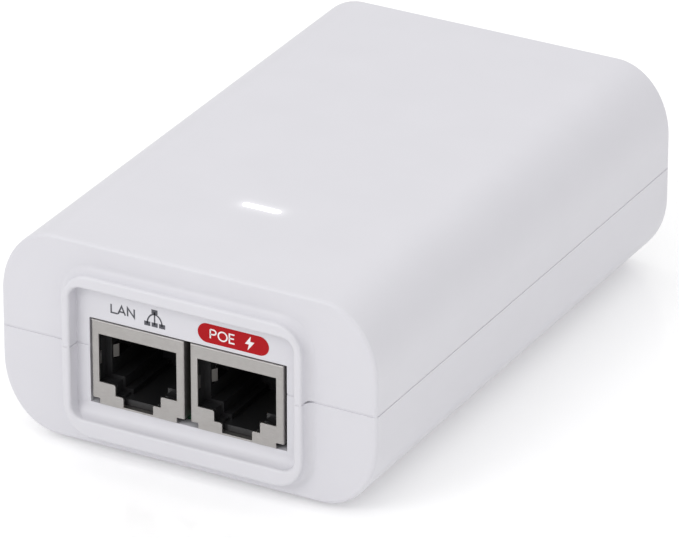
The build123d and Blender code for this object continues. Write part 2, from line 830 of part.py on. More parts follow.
def bulk_capacitor():
    half = bulk_cap_radius / 2
    can = electrolytic(bulk_cap_radius, bulk_cap_height)
    return seated(can, bulk_cap_x, power_row, [(0, -half), (0, half)])


def winding_reach():
    """Centre leg to the side of the bobbin's flanges."""
    window = (transformer_width - core_leg) / 2 - core_outer_leg
    return core_leg / 2 + window - winding_margin


def coil_rise():
    """Centre leg to the top of the bobbin's flanges."""
    return (room_height - coil_headroom - bobbin_rail_height) / 2


def coil_centre():
    return board_top + bobbin_rail_height + coil_rise()


def transformer_core():
    """Ferrite core: two E halves glued into a figure of eight, centre leg along Y."""
    low = coil_centre() - core_thickness / 2
    high = low + core_thickness
    half = transformer_width / 2
    deep = transformer_depth / 2
    core = block(-half, half, -deep, deep, low, high)
    window_deep = deep - core_leg / 2
    window_width = half - core_outer_leg - core_leg / 2
    for side in (-1, 1):
        middle = side * (core_leg + window_width) / 2
        core -= block(middle - window_width / 2, middle + window_width / 2, -window_deep, window_deep,
                      low - 1, high + 1)
    return Pos(transformer_x, power_row, 0) * core


def transformer_bobbin():
    """Bobbin tube and end flanges round the centre leg, with a pin rail at each end."""
    z = coil_centre()
    deep = transformer_depth / 2 - core_leg / 2 - winding_margin
    inner = core_leg / 2 + bobbin_fit
    inner_z = core_thickness / 2 + bobbin_fit
    outer = inner + bobbin_wall
    outer_z = inner_z + bobbin_wall
    reach = winding_reach()
    rise = coil_rise()
    bobbin = block(-outer, outer, -deep, deep, z - outer_z, z + outer_z)
    for side in (-1, 1):
        near = side * (deep - bobbin_wall)
        far = side * deep
        bobbin += block(-reach, reach, min(near, far), max(near, far), z - rise, z + rise)
        rail_out = side * transformer_depth / 2
        rail_low = min(near, rail_out)
        rail_high = max(near, rail_out)
        bobbin += block(-reach, reach, rail_low, rail_high, board_top, board_top + bobbin_rail_height)
    bobbin -= block(-inner, inner, -deep - 1, deep + 1, z - inner_z, z + inner_z)
    rail_y = transformer_depth / 2 - core_leg / 4
    pins = [(x, side * rail_y) for side in (-1, 1) for x in bobbin_pins]
    body = Pos(0, 0, -board_top) * bobbin
    return seated(body, transformer_x, power_row, pins)


def transformer_winding():
    """Tape-wrapped winding between the bobbin's flanges."""
    z = coil_centre()
    deep = transformer_depth / 2 - core_leg / 2 - winding_margin - bobbin_wall - winding_gap
    reach = winding_reach() - winding_flange_gap
    rise = coil_rise() - winding_flange_gap
    winding = block(-reach, reach, -deep, deep, z - rise, z + rise)
    winding = fillet(winding.edges().filter_by(Axis.Y), winding_corner)
    tube = bobbin_fit + bobbin_wall + winding_gap
    inner = core_leg / 2 + tube
    inner_z = core_thickness / 2 + tube
    winding -= block(-inner, inner, -deep - 1, deep + 1, z - inner_z, z + inner_z)
    return Pos(transformer_x, power_row, 0) * winding


def heat_sink(side):
    """Upright aluminium plate with a folded top and two board pins."""
    plate = Pos(0, 0, heat_sink_height / 2) * Box(heat_sink_thickness, heat_sink_length, heat_sink_height)
    top = Box(heat_sink_fold, heat_sink_length, heat_sink_thickness)
    fold_x = -side * (heat_sink_fold - heat_sink_thickness) / 2
    plate += Pos(fold_x, 0, heat_sink_height - heat_sink_thickness / 2) * top
    bore = Cylinder(tab_screw_radius + tab_screw_clearance, 3 * heat_sink_thickness)
    plate -= Pos(0, 0, tab_hole_height()) * Rot(0, 90, 0) * bore
    pin_y = heat_sink_length / 2 - heat_sink_pin_inset
    return seated(plate, side * sink_x, power_row, [(0, -pin_y), (0, pin_y)])


def tab_hole_height():
    return package_lift + package_size[2] + package_tab_height / 2


def power_package(side):
    """Three-lead power package bolted flat to its heat sink."""
    depth, width, height = package_size
    body = Pos(0, 0, package_lift + height / 2) * Box(depth, width, height)
    tab_x = side * (depth - package_tab_thickness) / 2
    tab_z = package_lift + height + package_tab_height / 2
    tab = Pos(tab_x, 0, tab_z) * Box(package_tab_thickness, width, package_tab_height)
    bore = Cylinder(tab_screw_radius + tab_screw_clearance, 3 * package_tab_thickness)
    body += tab
    body -= Pos(tab_x, 0, tab_z) * Rot(0, 90, 0) * bore
    leads = [(0, -lead_pitch), (0, 0), (0, lead_pitch)]
    for lead_x, lead_y in leads:
        body += post(lead_x, lead_y, 0, package_lift + 1, lead_radius)
    return seated(body, side * package_x, power_row, leads)


def heat_sink_screws():
    """Screw through each package tab into its tapped heat sink."""
    z = board_top + tab_hole_height()
    head_radius, head_height = tab_screw_head
    reach = heat_sink_thickness / 2
    tab_inner = package_tab_thickness + reach
    screws = []
    for side in (-1, 1):
        low = -tab_inner - head_height
        high = reach + tab_screw_stub
        shank = Rot(0, 90, 0) * Cylinder(tab_screw_radius, tab_inner + high)
        shank = Pos((high - tab_inner) / 2, 0, 0) * shank
        head = Pos(low + head_height / 2, 0, 0) * Rot(0, 90, 0) * Cylinder(head_radius, head_height)
        screw = shank + head
        if side < 0:
            screw = Rot(0, 0, 180) * screw
        screws.append(Pos(side * sink_x, power_row, z) * screw)
    return screws


def choke_core():
    ring = Cylinder(choke_radius - choke_wire_radius, choke_core_thickness)
    ring -= Cylinder(choke_bore + choke_wire_radius, choke_core_thickness)
    ring = fillet(ring.edges(), choke_edge_radius)
    return Pos(choke_x, filter_row, choke_height()) * Rot(90, 0, 0) * ring


def choke_height():
    return board_top + choke_radius + choke_wire_radius + choke_base_thickness / 2


def choke_turn(angle):
    """One turn of wire round the ring, as a flat racetrack loop."""
    inner = choke_bore - choke_wire_gap
    outer = choke_radius + choke_wire_gap
    deep = choke_core_thickness / 2 + choke_wire_radius + choke_wire_gap
    loop = Polyline((inner, -deep), (outer, -deep), (outer, deep), (inner, deep), close=True)
    loop = fillet(loop.vertices(), choke_wire_bend)
    path = Plane.XY * loop
    start = Plane(origin=path @ 0, z_dir=path % 0)
    turn = sweep(start * Circle(choke_wire_radius), path=path)
    return Rot(0, angle, 0) * turn


def choke_windings():
    """Two separate windings, one on each side of the ring, their turns just clear in the bore."""
    wire_half = choke_wire_radius + choke_wire_gap
    step = 2 * math.degrees(math.asin(wire_half / (choke_bore - choke_wire_gap)))
    windings = []
    for middle in (0, 180):
        for turn in range(choke_turns):
            angle = middle + (turn - (choke_turns - 1) / 2) * step
            windings.append(Pos(choke_x, filter_row, choke_height()) * choke_turn(angle))
    return windings


def choke_base():
    """Moulded base that holds the ring upright and carries its four pins."""
    base = Pos(0, 0, choke_base_thickness / 2) * Box(2 * choke_radius, choke_depth, choke_base_thickness)
    ring_space = Pos(0, 0, choke_height() - board_top) * Rot(90, 0, 0)
    base -= ring_space * Cylinder(choke_radius + choke_wire_radius + 2 * choke_wire_gap, choke_depth * 2)
    pins = four_corners(choke_radius - choke_pin_inset, choke_depth / 2 - choke_pin_inset)
    return seated(base, choke_x, filter_row, pins)


def x_capacitor():
    half = x_cap_size[0] / 2 - x_cap_lead_inset
    return seated(soft_box(x_cap_size), x_cap_x, filter_row, [(-half, 0), (half, 0)])


def bridge_rectifier():
    half = bridge_size[0] / 2 - bridge_lead_inset
    places = [(-half + i * 2 * half / (bridge_leads - 1), 0) for i in range(bridge_leads)]
    body = Pos(0, 0, bridge_lift) * soft_box(bridge_size)
    for x, y in places:
        body += post(x, y, 0, bridge_lift + 1, lead_radius)
    return seated(body, bridge_x, filter_row, places)


def y_capacitor():
    return disc_part(y_cap_radius, y_cap_thickness, y_cap_x, filter_row)


def side_pocket_middle():
    """Middle of the room beside the inlet, between it and the edge of the board."""
    return (inlet_width / 2 + inlet_flange + usable_half) / 2


def fuse():
    body = Pos(0, 0, fuse_height / 2) * Cylinder(fuse_radius, fuse_height)
    body = fillet(body.edges().sort_by(Axis.Z)[-1], can_edge_radius)
    leads = [(0, -lead_pitch), (0, lead_pitch)]
    return seated(body, -side_pocket_middle(), inlet_front + fuse_radius, leads)


def varistor():
    y = inlet_front + varistor_radius
    return disc_part(varistor_radius, varistor_thickness, side_pocket_middle(), y)


def chip_legs(size, legs):
    """Gull-wing legs along both long sides of a chip, reaching down to the board."""
    pitch, count = legs
    width, length = leg_size
    row = []
    for side in (-1, 1):
        for i in range(count):
            x = (i - (count - 1) / 2) * pitch
            y = side * (size[1] / 2 + leg_reach)
            row.append(Pos(x, y, size[2] / 4) * Box(width, length, size[2] / 2))
    return row


def legged_chip(size, legs):
    """A chip body with its legs, standing on the origin."""
    return Pos(0, 0, solder_gap) * soft_box(size) + chip_legs(size, legs)


def lan_magnetics():
    return Pos(magnetics_x, signal_row, board_top) * legged_chip(magnetics_size, magnetics_legs)


def underside_chip(size, legs, x, y):
    """A chip soldered to the underside of the board."""
    return Pos(x, y, board_under) * Rot(180, 0, 0) * legged_chip(size, legs)


def power_controller_chip():
    return underside_chip(controller_size, controller_legs, bulk_cap_x, power_row)


def optocoupler():
    return underside_chip(optocoupler_size, optocoupler_legs, transformer_x, power_row)


def poe_controller_chip():
    return underside_chip(poe_chip_size, poe_chip_legs, magnetics_x, signal_row)


def surface_mount_parts():
    """Chip resistors and capacitors in two columns beside the controller chip on the underside."""
    chips = []
    width, depth, height = chip_size
    column_x = poe_chip_size[0] / 2 + chip_gap + width / 2
    for side in (-1, 1):
        for i in range(chip_rows):
            y = signal_row + chip_pitch * (i - (chip_rows - 1) / 2)
            place = Pos(magnetics_x + side * column_x, y, board_under - height / 2)
            chips.append(place * Box(width, depth, height))
    return chips


def main_board():
    """Circuit board clamped between the bosses, with a hole for every lead and screw."""
    board = block(-board_half, board_half, board_front, board_back, board_under, board_top)
    low = board_under - 1
    high = board_top + 1
    screw_hole = screw_shank_radius + screw_clearance
    cutters = [post(x, y, low, high, screw_hole) for x, y in four_corners(screw_x, screw_y)]
    for x, y, x_half, y_half in board_holes:
        if x_half == y_half:
            cutters.append(post(x, y, low, high, x_half))
        else:
            cutters.append(block(x - x_half, x + x_half, y - y_half, y + y_half, low, high))
    return board - cutters


def insulation_sheet():
    """Fibre sheet on the floor of the bottom cover, under the mains side of the board."""
    half = case_width / 2 - corner_across - sheet_edge_gap
    y_low = power_row - transformer_depth / 2
    y_high = back_face - end_wall - sheet_edge_gap
    z_low = floor + sheet_floor_gap
    sheet = block(-half, half, y_low, y_high, z_low, z_low + sheet_thickness)
    clear = screw_head_radius + screw_clearance + boss_wall + sheet_boss_gap
    for x, y in four_corners(screw_x, screw_y):
        sheet -= post(x, y, floor - 1, floor + 2, clear)
    return sheet


# ---- Every sub-part, by name ----
case_shell = hollow_case()
nodes = {
    "top_cover": top_cover(case_shell),
    "bottom_cover": bottom_cover(case_shell),
    "light_pipe": light_pipe(),
    "status_led": status_led(),
    "rubber_feet": rubber_feet(),
    "case_screws": case_screws(),
    "ac_inlet_body": ac_inlet_body(),
    "ac_inlet_pins": ac_inlet_pins(),
    "fuse": fuse(),
    "varistor": varistor(),
    "x_capacitor": x_capacitor(),
    "y_capacitor": y_capacitor(),
    "choke_core": choke_core(),
    "choke_windings": choke_windings(),
    "choke_base": choke_base(),
    "bridge_rectifier": bridge_rectifier(),
    "bulk_capacitor": bulk_capacitor(),
    "transformer_core": transformer_core(),
    "transformer_bobbin": transformer_bobbin(),
    "transformer_winding": transformer_winding(),
    "primary_heat_sink": heat_sink(1),
    "switch_transistor": power_package(1),
    "secondary_heat_sink": heat_sink(-1),
    "rectifier_diode": power_package(-1),
    "heat_sink_screws": heat_sink_screws(),
    "output_capacitors": output_capacitors(),
    "lan_magnetics": lan_magnetics(),
    "power_controller_chip": power_controller_chip(),
    "optocoupler": optocoupler(),
    "poe_controller_chip": poe_controller_chip(),
    "surface_mount_parts": surface_mount_parts(),
    "insulation_sheet": insulation_sheet(),
}
for port, centre in zip(("lan", "poe"), jack_centres):
    nodes[port + "_jack_shield"] = jack_shield(centre)
    nodes[port + "_jack_insert"] = jack_insert(centre)
    nodes[port + "_contact_springs"] = contact_springs(centre)
    nodes[port + "_contact_tails"] = contact_tails(centre)
nodes["main_board"] = main_board()

os.makedirs("parts", exist_ok=True)
for name, shape in nodes.items():
    solids = shape if isinstance(shape, list) else shape.solids()
    export_step(Compound(children=list(solids)), f"parts/{name}.step")
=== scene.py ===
import json
import math

import bmesh
import bpy
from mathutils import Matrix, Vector


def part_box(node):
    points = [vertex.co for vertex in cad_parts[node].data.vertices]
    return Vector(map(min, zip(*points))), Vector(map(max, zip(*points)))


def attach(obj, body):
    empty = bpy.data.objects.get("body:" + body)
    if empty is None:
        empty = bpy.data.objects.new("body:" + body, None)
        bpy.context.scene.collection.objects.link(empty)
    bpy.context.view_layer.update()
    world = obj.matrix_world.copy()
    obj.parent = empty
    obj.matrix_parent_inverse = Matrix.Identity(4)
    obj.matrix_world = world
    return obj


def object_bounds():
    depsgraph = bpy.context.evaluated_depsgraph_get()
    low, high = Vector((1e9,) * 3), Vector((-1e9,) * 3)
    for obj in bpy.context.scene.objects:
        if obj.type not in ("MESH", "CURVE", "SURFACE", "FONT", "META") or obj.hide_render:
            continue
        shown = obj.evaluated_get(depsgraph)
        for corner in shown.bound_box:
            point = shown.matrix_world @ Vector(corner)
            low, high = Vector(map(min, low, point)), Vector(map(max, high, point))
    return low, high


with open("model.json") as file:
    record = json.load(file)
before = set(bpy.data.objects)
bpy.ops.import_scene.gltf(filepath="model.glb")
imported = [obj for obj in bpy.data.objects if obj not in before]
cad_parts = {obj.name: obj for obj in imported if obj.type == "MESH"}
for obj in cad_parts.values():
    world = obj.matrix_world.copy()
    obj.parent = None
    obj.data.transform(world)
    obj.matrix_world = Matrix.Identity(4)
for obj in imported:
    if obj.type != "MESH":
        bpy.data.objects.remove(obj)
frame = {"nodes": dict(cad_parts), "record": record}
cad_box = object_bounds()
MM = 0.001

# ---- Where things are, from the frame ----
BODY = "case"
shield_low, shield_high = {}, {}
for port in ("lan", "poe"):
    shield_low[port], shield_high[port] = (Vector(c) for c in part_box(port + "_jack_shield"))
cover_top_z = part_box("top_cover")[1][2]
light_low, light_high = (Vector(c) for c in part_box("light_pipe"))
jack_face_y = shield_low["lan"].y
jack_top_z = shield_high["lan"].z
PANEL_BEHIND_JACKS = 0.25 * MM
panel_y = jack_face_y + PANEL_BEHIND_JACKS
INK_THICKNESS = 0.02 * MM

# ---- Looks of the case, the status light and the jack shields ----
PLASTIC = (0.657, 0.650, 0.688)
PLASTIC_GRAIN = 0.16 * MM
PLASTIC_PATCH = 9 * MM
PLASTIC_PATCH_VARIATION = 0.008
LENS_WIDTH = 6.5 * MM
LENS_THICKNESS = 1.25 * MM
LENS_COLOUR = (0.9, 0.9, 0.92, 1)
LENS_LIT_DEPTH = 0.8 * MM         # how far down the lens shines at full strength
LENS_STRENGTH = (2.2, 2.6)
STEM_GLOW = 0.004                 # share of that strength in the stem inside the case
GLOW_REACH = 0.7 * MM             # distance over which the halo in the plastic fades
GLOW_STRENGTH = 0.5
WHITE = (1.0, 1.0, 1.0, 1.0)
SHIELD_DARK = (0.33, 0.316, 0.306)
SHIELD_BRIGHT = (0.445, 0.431, 0.421)
SHIELD_LINES = 0.07 * MM
SHIELD_STAINS = 1.8 * MM
SHIELD_SHADE_START_DEPTH = 0.5 * MM    # behind the face, where the painted shade inside the jack mouth starts
SHIELD_SHADE_FULL_DEPTH = 2.5 * MM      # behind the face, where the painted shade is full
# Painted shade: the sheet's colour deep inside the jack mouth
SHIELD_PAINTED_SHADE = (0.20, 0.19, 0.18)
FINE_RELIEF = 0.004 * MM

# ---- Labels: places on the panel, above the jacks ----
LAN_TEXT_LEFT = -13.12 * MM
LAN_TEXT_WIDTH = 4.0 * MM
LABEL_BASE = 1.68 * MM            # jack top to the foot of the lettering
LAN_TEXT_HEIGHT = 1.65 * MM
LAN_STROKE = 0.25 * MM
TREE_LEFT = -7.41 * MM
TREE_WIDTH = 3.6 * MM
TREE_HEIGHT = 2.88 * MM
TREE_BASE = 1.1 * MM
TREE_LINE = 0.24 * MM
TREE_BOX_WIDTH_SHARE = 0.29       # of the width of the mark
TREE_BOX_HEIGHT_SHARE = 0.25      # of its height
TREE_ARCH_SHARE = 0.80            # top of the arch, from the lower boxes to the upper one
PILL_LEFT = 1.80 * MM
PILL_WIDTH = 12.15 * MM
PILL_HEIGHT = 3.18 * MM
PILL_BASE = 0.75 * MM
POE_TEXT_LEFT = 3.96 * MM
POE_TEXT_WIDTH = 4.14 * MM
POE_TEXT_HEIGHT = 1.7 * MM
POE_STROKE = 0.23 * MM
BOLT_LEFT = 9.86 * MM
BOLT_WIDTH = 1.62 * MM
BOLT_HEIGHT = 2.4 * MM
GREY_INK = (0.10, 0.10, 0.115)
RED_INK = (0.40, 0.004, 0.008)
WHITE_INK = (0.82, 0.80, 0.80)
INK_SHINE = 0.15
MITRE_LIMIT = 0.35                # sharpest corner of a stroke, as the cosine of half its turn


# ---- Node material helpers ----
class Shader:
    """A small builder for one procedural material."""

    def __init__(self, name):
        self.material = bpy.data.materials.new(name)
        self.material.use_nodes = True
        self.tree = self.material.node_tree
        self.tree.nodes.clear()
        self.out = self.tree.nodes.new("ShaderNodeOutputMaterial")
        self.bsdf = self.tree.nodes.new("ShaderNodeBsdfPrincipled")
        self.tree.links.new(self.bsdf.outputs["BSDF"], self.out.inputs["Surface"])
        self.coords = self.tree.nodes.new("ShaderNodeTexCoord").outputs["Object"]

    def node(self, kind, **values):
        made = self.tree.nodes.new(kind)
        for key, value in values.items():
            setattr(made, key, value)
        return made

    def link(self, source, target):
        self.tree.links.new(source, target)

    def put(self, node, key, value):
        if isinstance(value, bpy.types.NodeSocket):
            self.link(value, node.inputs[key])
        else:
            node.inputs[key].default_value = value

    def set(self, **values):
        for key, value in values.items():
            self.put(self.bsdf, key.replace("_", " "), value)

    def stretch(self, scale):
        made = self.node("ShaderNodeMapping")
        self.put(made, "Vector", self.coords)
        made.inputs["Scale"].default_value = scale
        return made.outputs["Vector"]

    def place(self):
        """The point on the part, as its X, Y and Z."""
        split = self.node("ShaderNodeSeparateXYZ")
        self.link(self.coords, split.inputs[0])
        return split.outputs

    def noise(self, grain, detail=2.0, rough=0.5, vector=None):
        """Noise whose spots are about grain metres across."""
        made = self.node("ShaderNodeTexNoise")
        self.put(made, "Vector", vector if vector is not None else self.coords)
        made.inputs["Scale"].default_value = 1.0 / grain
        made.inputs["Detail"].default_value = detail
        made.inputs["Roughness"].default_value = rough
        return made.outputs["Fac"]

    def ramp(self, fac, low, high, low_at=0.3, high_at=0.7):
        made = self.node("ShaderNodeMapRange")
        self.put(made, "Value", fac)
        made.inputs["From Min"].default_value = low_at
        made.inputs["From Max"].default_value = high_at
        made.inputs["To Min"].default_value = low
        made.inputs["To Max"].default_value = high
        return made.outputs["Result"]

    def blend(self, fac, first, second):
        made = self.node("ShaderNodeMix", data_type="RGBA")
        self.put(made, "Factor", fac)
        for key, value in ((6, first), (7, second)):
            if isinstance(value, bpy.types.NodeSocket):
                self.link(value, made.inputs[key])
            else:
                made.inputs[key].default_value = (*value, 1.0)
        return made.outputs[2]

    def math(self, operation, first, second=0.0):
        made = self.node("ShaderNodeMath", operation=operation)
        for index, value in enumerate((first, second)):
            self.put(made, index, value)
        return made.outputs[0]

    def bump(self, height, distance, strength=1.0):
        made = self.node("ShaderNodeBump")
        self.put(made, "Height", height)
        made.inputs["Distance"].default_value = distance
        made.inputs["Strength"].default_value = strength
        self.link(made.outputs["Normal"], self.bsdf.inputs["Normal"])


def tint(colour, factor):
    return tuple(min(1.0, c * factor) for c in colour)


def mottled(name, colour, rough, grain, variation=0.06, metal=0.0, bump=0.0, stretch=None, **extra):
    """Moulded, cast, dipped or plated surface: mottled colour and gloss with a fine relief."""
    shader = Shader(name)
    vector = shader.stretch(stretch) if stretch else None
    fine = shader.noise(grain, 3.0, 0.6, vector)
    wide = shader.noise(grain * 14, 2.0, 0.5)
    mixed = shader.math("ADD", shader.math("MULTIPLY", fine, 0.5), shader.math("MULTIPLY", wide, 0.5))
    shade = shader.blend(shader.ramp(mixed, 0.0, 1.0), tint(colour, 1 - variation),
                         tint(colour, 1 + variation))
    shader.set(Metallic=metal, Base_Color=shade,
               Roughness=shader.ramp(fine, rough * 0.85, min(1.0, rough * 1.15)), **extra)
    if bump:
        shader.bump(fine, bump)
    return shader.material


# ---- Materials ----
def case_plastic():
    """White moulded plastic: fine spark-eroded grain, and a halo where the status light shines through."""
    shader = Shader("case_plastic")
    grain = shader.noise(PLASTIC_GRAIN, 2.0, 0.5)
    patch = shader.noise(PLASTIC_PATCH, 2.0, 0.5)
    shade = shader.blend(shader.ramp(patch, 0.0, 1.0), tint(PLASTIC, 1 - PLASTIC_PATCH_VARIATION),
                         tint(PLASTIC, 1 + PLASTIC_PATCH_VARIATION))
    shader.set(Base_Color=shade, Roughness=shader.ramp(grain, 0.36, 0.46), Specular_IOR_Level=0.5)
    shader.bump(grain, FINE_RELIEF, 0.35)
    glow(shader)
    return shader.material


def glow(shader):
    """Light from the lens spreading through the plastic around it, fading with distance."""
    centre = (light_low + light_high) / 2
    half_bar = (LENS_WIDTH - LENS_THICKNESS) / 2
    place = shader.place()
    across = shader.math("ABSOLUTE", shader.math("SUBTRACT", place["X"], centre.x))
    across = shader.math("MAXIMUM", shader.math("SUBTRACT", across, half_bar), 0.0)
    along = shader.math("SUBTRACT", place["Y"], centre.y)
    down = shader.math("SUBTRACT", place["Z"], cover_top_z)
    square = shader.math("ADD", shader.math("POWER", across, 2.0), shader.math("POWER", along, 2.0))
    square = shader.math("ADD", square, shader.math("POWER", down, 2.0))
    distance = shader.math("SQRT", square)
    fall = shader.math("POWER", math.e, shader.math("MULTIPLY", distance, -1.0 / GLOW_REACH))
    shader.set(Emission_Color=WHITE, Emission_Strength=shader.math("MULTIPLY", fall, GLOW_STRENGTH))


def light_lens():
    """Clear lens, bright at its top face and dim down its stem inside the case."""
    shader = Shader("light_lens")
    grain = shader.noise(0.5 * MM, 2.0, 0.5)
    depth = shader.math("SUBTRACT", light_high.z, shader.place()["Z"])
    lit = shader.ramp(depth, 1.0, STEM_GLOW, LENS_LIT_DEPTH / 2, LENS_LIT_DEPTH)
    strength = shader.math("MULTIPLY", shader.ramp(grain, *LENS_STRENGTH), lit)
    shader.set(Base_Color=LENS_COLOUR, Roughness=shader.ramp(grain, 0.15, 0.25), Emission_Color=WHITE,
               Emission_Strength=strength)
    return shader.material


def shield_sheet():
    """Nickel-plated sheet with fine rolling lines across it and faint stains, darkened away from the face by
    painted shade inside the jack mouth.
    """
    shader = Shader("shield_sheet")
    lines = shader.noise(SHIELD_LINES, 3.0, 0.6, shader.stretch((0.06, 1.0, 1.0)))
    stains = shader.noise(SHIELD_STAINS, 3.0, 0.6)
    tone = shader.math("ADD", shader.math("MULTIPLY", lines, 0.6), shader.math("MULTIPLY", stains, 0.4))
    bright = shader.blend(shader.ramp(tone, 0.0, 1.0), SHIELD_DARK, SHIELD_BRIGHT)
    # Painted shade: the sheet darkens with depth behind the jack face, towards the shade inside the mouth.
    depth = shader.math("SUBTRACT", shader.place()["Y"], jack_face_y)
    mouth_shade = shader.ramp(depth, 0.0, 1.0, SHIELD_SHADE_START_DEPTH, SHIELD_SHADE_FULL_DEPTH)
    shaded_sheet = shader.blend(mouth_shade, bright, SHIELD_PAINTED_SHADE)
    shader.set(Metallic=1.0, Base_Color=shaded_sheet, Roughness=shader.ramp(tone, 0.34, 0.52), Anisotropic=0.4)
    shader.bump(lines, FINE_RELIEF, 0.4)
    return shader.material


def ink(name, colour, rough=0.5):
    return mottled(name, colour, rough, 0.12 * MM, 0.05, bump=0.002 * MM)


def board_green():
    """Solder mask over woven glass fibre, with the faint grid of the weave."""
    shader = Shader("board_green")
    weave_x = shader.node("ShaderNodeTexWave", bands_direction="X")
    weave_y = shader.node("ShaderNodeTexWave", bands_direction="Y")
    for weave in (weave_x, weave_y):
        shader.link(shader.coords, weave.inputs["Vector"])
        weave.inputs["Scale"].default_value = 1.0 / (2.2 * MM)
    weave = shader.math("MULTIPLY", weave_x.outputs["Fac"], weave_y.outputs["Fac"])
    tracks = shader.noise(3 * MM, 1.0, 0.3)
    tone = shader.math("ADD", shader.math("MULTIPLY", weave, 0.35), shader.math("MULTIPLY", tracks, 0.65))
    shader.set(Base_Color=shader.blend(tone, (0.012, 0.075, 0.035), (0.035, 0.17, 0.08)), Roughness=0.32)
    shader.bump(weave, 0.01 * MM, 0.3)
    return shader.material


def wound(name, colour, pitch, rough, metal=0.0):
    """Wound wire or wrapped tape: fine ridges round the part, with painted shade darkening the grooves
    between them.
    """
    shader = Shader(name)
    ridges = shader.node("ShaderNodeTexWave", bands_direction="Y")
    shader.link(shader.coords, ridges.inputs["Vector"])
    ridges.inputs["Scale"].default_value = 0.32 / pitch
    ridges.inputs["Distortion"].default_value = 0.4
    # Painted shade: the colour follows the ridges and darkens in the grooves, where the bump is lowest.
    shade = shader.ramp(ridges.outputs["Fac"], 0.0, 1.0, 0.0, 1.0)
    shader.set(Metallic=metal, Base_Color=shader.blend(shade, tint(colour, 0.8), tint(colour, 1.08)),
               Roughness=rough)
    shader.bump(ridges.outputs["Fac"], 0.05 * MM, 0.4)
    return shader.material


def make_materials():
    grain = 0.12 * MM
    return {
        "case_plastic": case_plastic(),
        "light_lens": light_lens(),
        "shield_sheet": shield_sheet(),
        "board_green": board_green(),
        "led_white": mottled("led_white", (0.8, 0.8, 0.74), 0.4, grain),
        "foot_rubber": mottled("foot_rubber", (0.055, 0.055, 0.058), 0.8, grain, 0.15, bump=0.02 * MM),
        "zinc_steel": mottled("zinc_steel", (0.62, 0.62, 0.6), 0.3, grain, 0.1, 1.0),
        "black_plastic": mottled("black_plastic", (0.012, 0.012, 0.013), 0.42, grain, 0.2, bump=0.006 * MM),
        "contact_gold": mottled("contact_gold", (0.83, 0.60, 0.24), 0.25, grain, 0.08, 1.0,
                                stretch=(1.0, 0.1, 1.0)),
        "pin_nickel": mottled("pin_nickel", (0.70, 0.68, 0.64), 0.22, grain, 0.06, 1.0,
                              stretch=(1.0, 0.1, 1.0)),
        "fuse_case": mottled("fuse_case", (0.05, 0.042, 0.036), 0.45, grain, 0.12),
        "varistor_coat": mottled("varistor_coat", (0.03, 0.09, 0.32), 0.3, 0.4 * MM, 0.12, bump=0.03 * MM),
        "x_cap_case": mottled("x_cap_case", (0.72, 0.42, 0.03), 0.4, grain, 0.06, bump=0.006 * MM),
        "y_cap_coat": mottled("y_cap_coat", (0.05, 0.18, 0.42), 0.3, 0.4 * MM, 0.12, bump=0.03 * MM),
        "ferrite": mottled("ferrite", (0.03, 0.03, 0.032), 0.6, 0.2 * MM, 0.25, bump=0.02 * MM),
        "copper_wire": wound("copper_wire", (0.60, 0.20, 0.06), 0.5 * MM, 0.3, 0.8),
        "epoxy_black": mottled("epoxy_black", (0.02, 0.02, 0.021), 0.55, grain, 0.2, bump=0.01 * MM),
        "cap_sleeve": mottled("cap_sleeve", (0.018, 0.024, 0.06), 0.28, 0.6 * MM, 0.1),
        "winding_tape": wound("winding_tape", (0.78, 0.58, 0.05), 1.4 * MM, 0.25),
        "bobbin_plastic": mottled("bobbin_plastic", (0.02, 0.02, 0.02), 0.5, grain, 0.2),
        "heat_sink_aluminium": mottled("heat_sink_aluminium", (0.72, 0.73, 0.75), 0.34, 0.08 * MM, 0.08, 1.0,
                                       stretch=(1.0, 0.05, 1.0)),
        "fibre_sheet": mottled("fibre_sheet", (0.62, 0.58, 0.47), 0.75, 0.3 * MM, 0.1, bump=0.02 * MM),
        "chip_ceramic": mottled("chip_ceramic", (0.22, 0.17, 0.12), 0.45, grain, 0.15),
    }


def dress_nodes(materials):
    """Give every CAD node the material of its slot."""
    for part in frame["record"]["subparts"]:
        node = frame["nodes"][part["node"]]
        for index in range(len(node.material_slots)):
            node.material_slots[index].link = "DATA"
            node.material_slots[index].material = materials[part["material_slot"]]


# ---- Flat printed marks on the panel ----
def flat_piece(name, loops, material, lift=0.0):
    """Closed outlines, as (x, z) in metres, made into thin solid prints that face the front."""
    mesh = bmesh.new()
    back = panel_y - lift
    for loop in loops:
        corners = [mesh.verts.new((x, back, z)) for x, z in loop]
        face = mesh.faces.new(corners)
        made = bmesh.ops.extrude_face_region(mesh, geom=[face])
        moved = [item for item in made["geom"] if isinstance(item, bmesh.types.BMVert)]
        bmesh.ops.translate(mesh, verts=moved, vec=(0, -INK_THICKNESS, 0))
    bmesh.ops.triangulate(mesh, faces=mesh.faces[:])
    bmesh.ops.recalc_face_normals(mesh, faces=mesh.faces[:])
    data = bpy.data.meshes.new(name)
    mesh.to_mesh(data)
    mesh.free()
    piece = bpy.data.objects.new(name, data)
    bpy.context.scene.collection.objects.link(piece)
    data.materials.append(material)
    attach(piece, BODY)


def ribbon(points, width):
    """Outline of a stroke of that width along the points, with mitred corners."""
    left, right = [], []
    for index, point in enumerate(points):
        here = Vector(point)
        before = (here - Vector(points[index - 1])).normalized() if index else None
        after = (Vector(points[index + 1]) - here).normalized() if index + 1 < len(points) else None
        first = before if before is not None else after
        second = after if after is not None else before
        along = (first + second).normalized()
        across = Vector((-along.y, along.x))
        reach = width / 2 / max(MITRE_LIMIT, across.dot(Vector((-first.y, first.x))))
        left.append(here + across * reach)
        right.append(here - across * reach)
    return [tuple(p) for p in left + right[::-1]]


def arc(centre, radius_x, radius_y, start, end, steps=18):
    points = []
    for step in range(steps + 1):
        angle = math.radians(start + (end - start) * step / steps)
        points.append((centre[0] + radius_x * math.cos(angle), centre[1] + radius_y * math.sin(angle)))
    return points


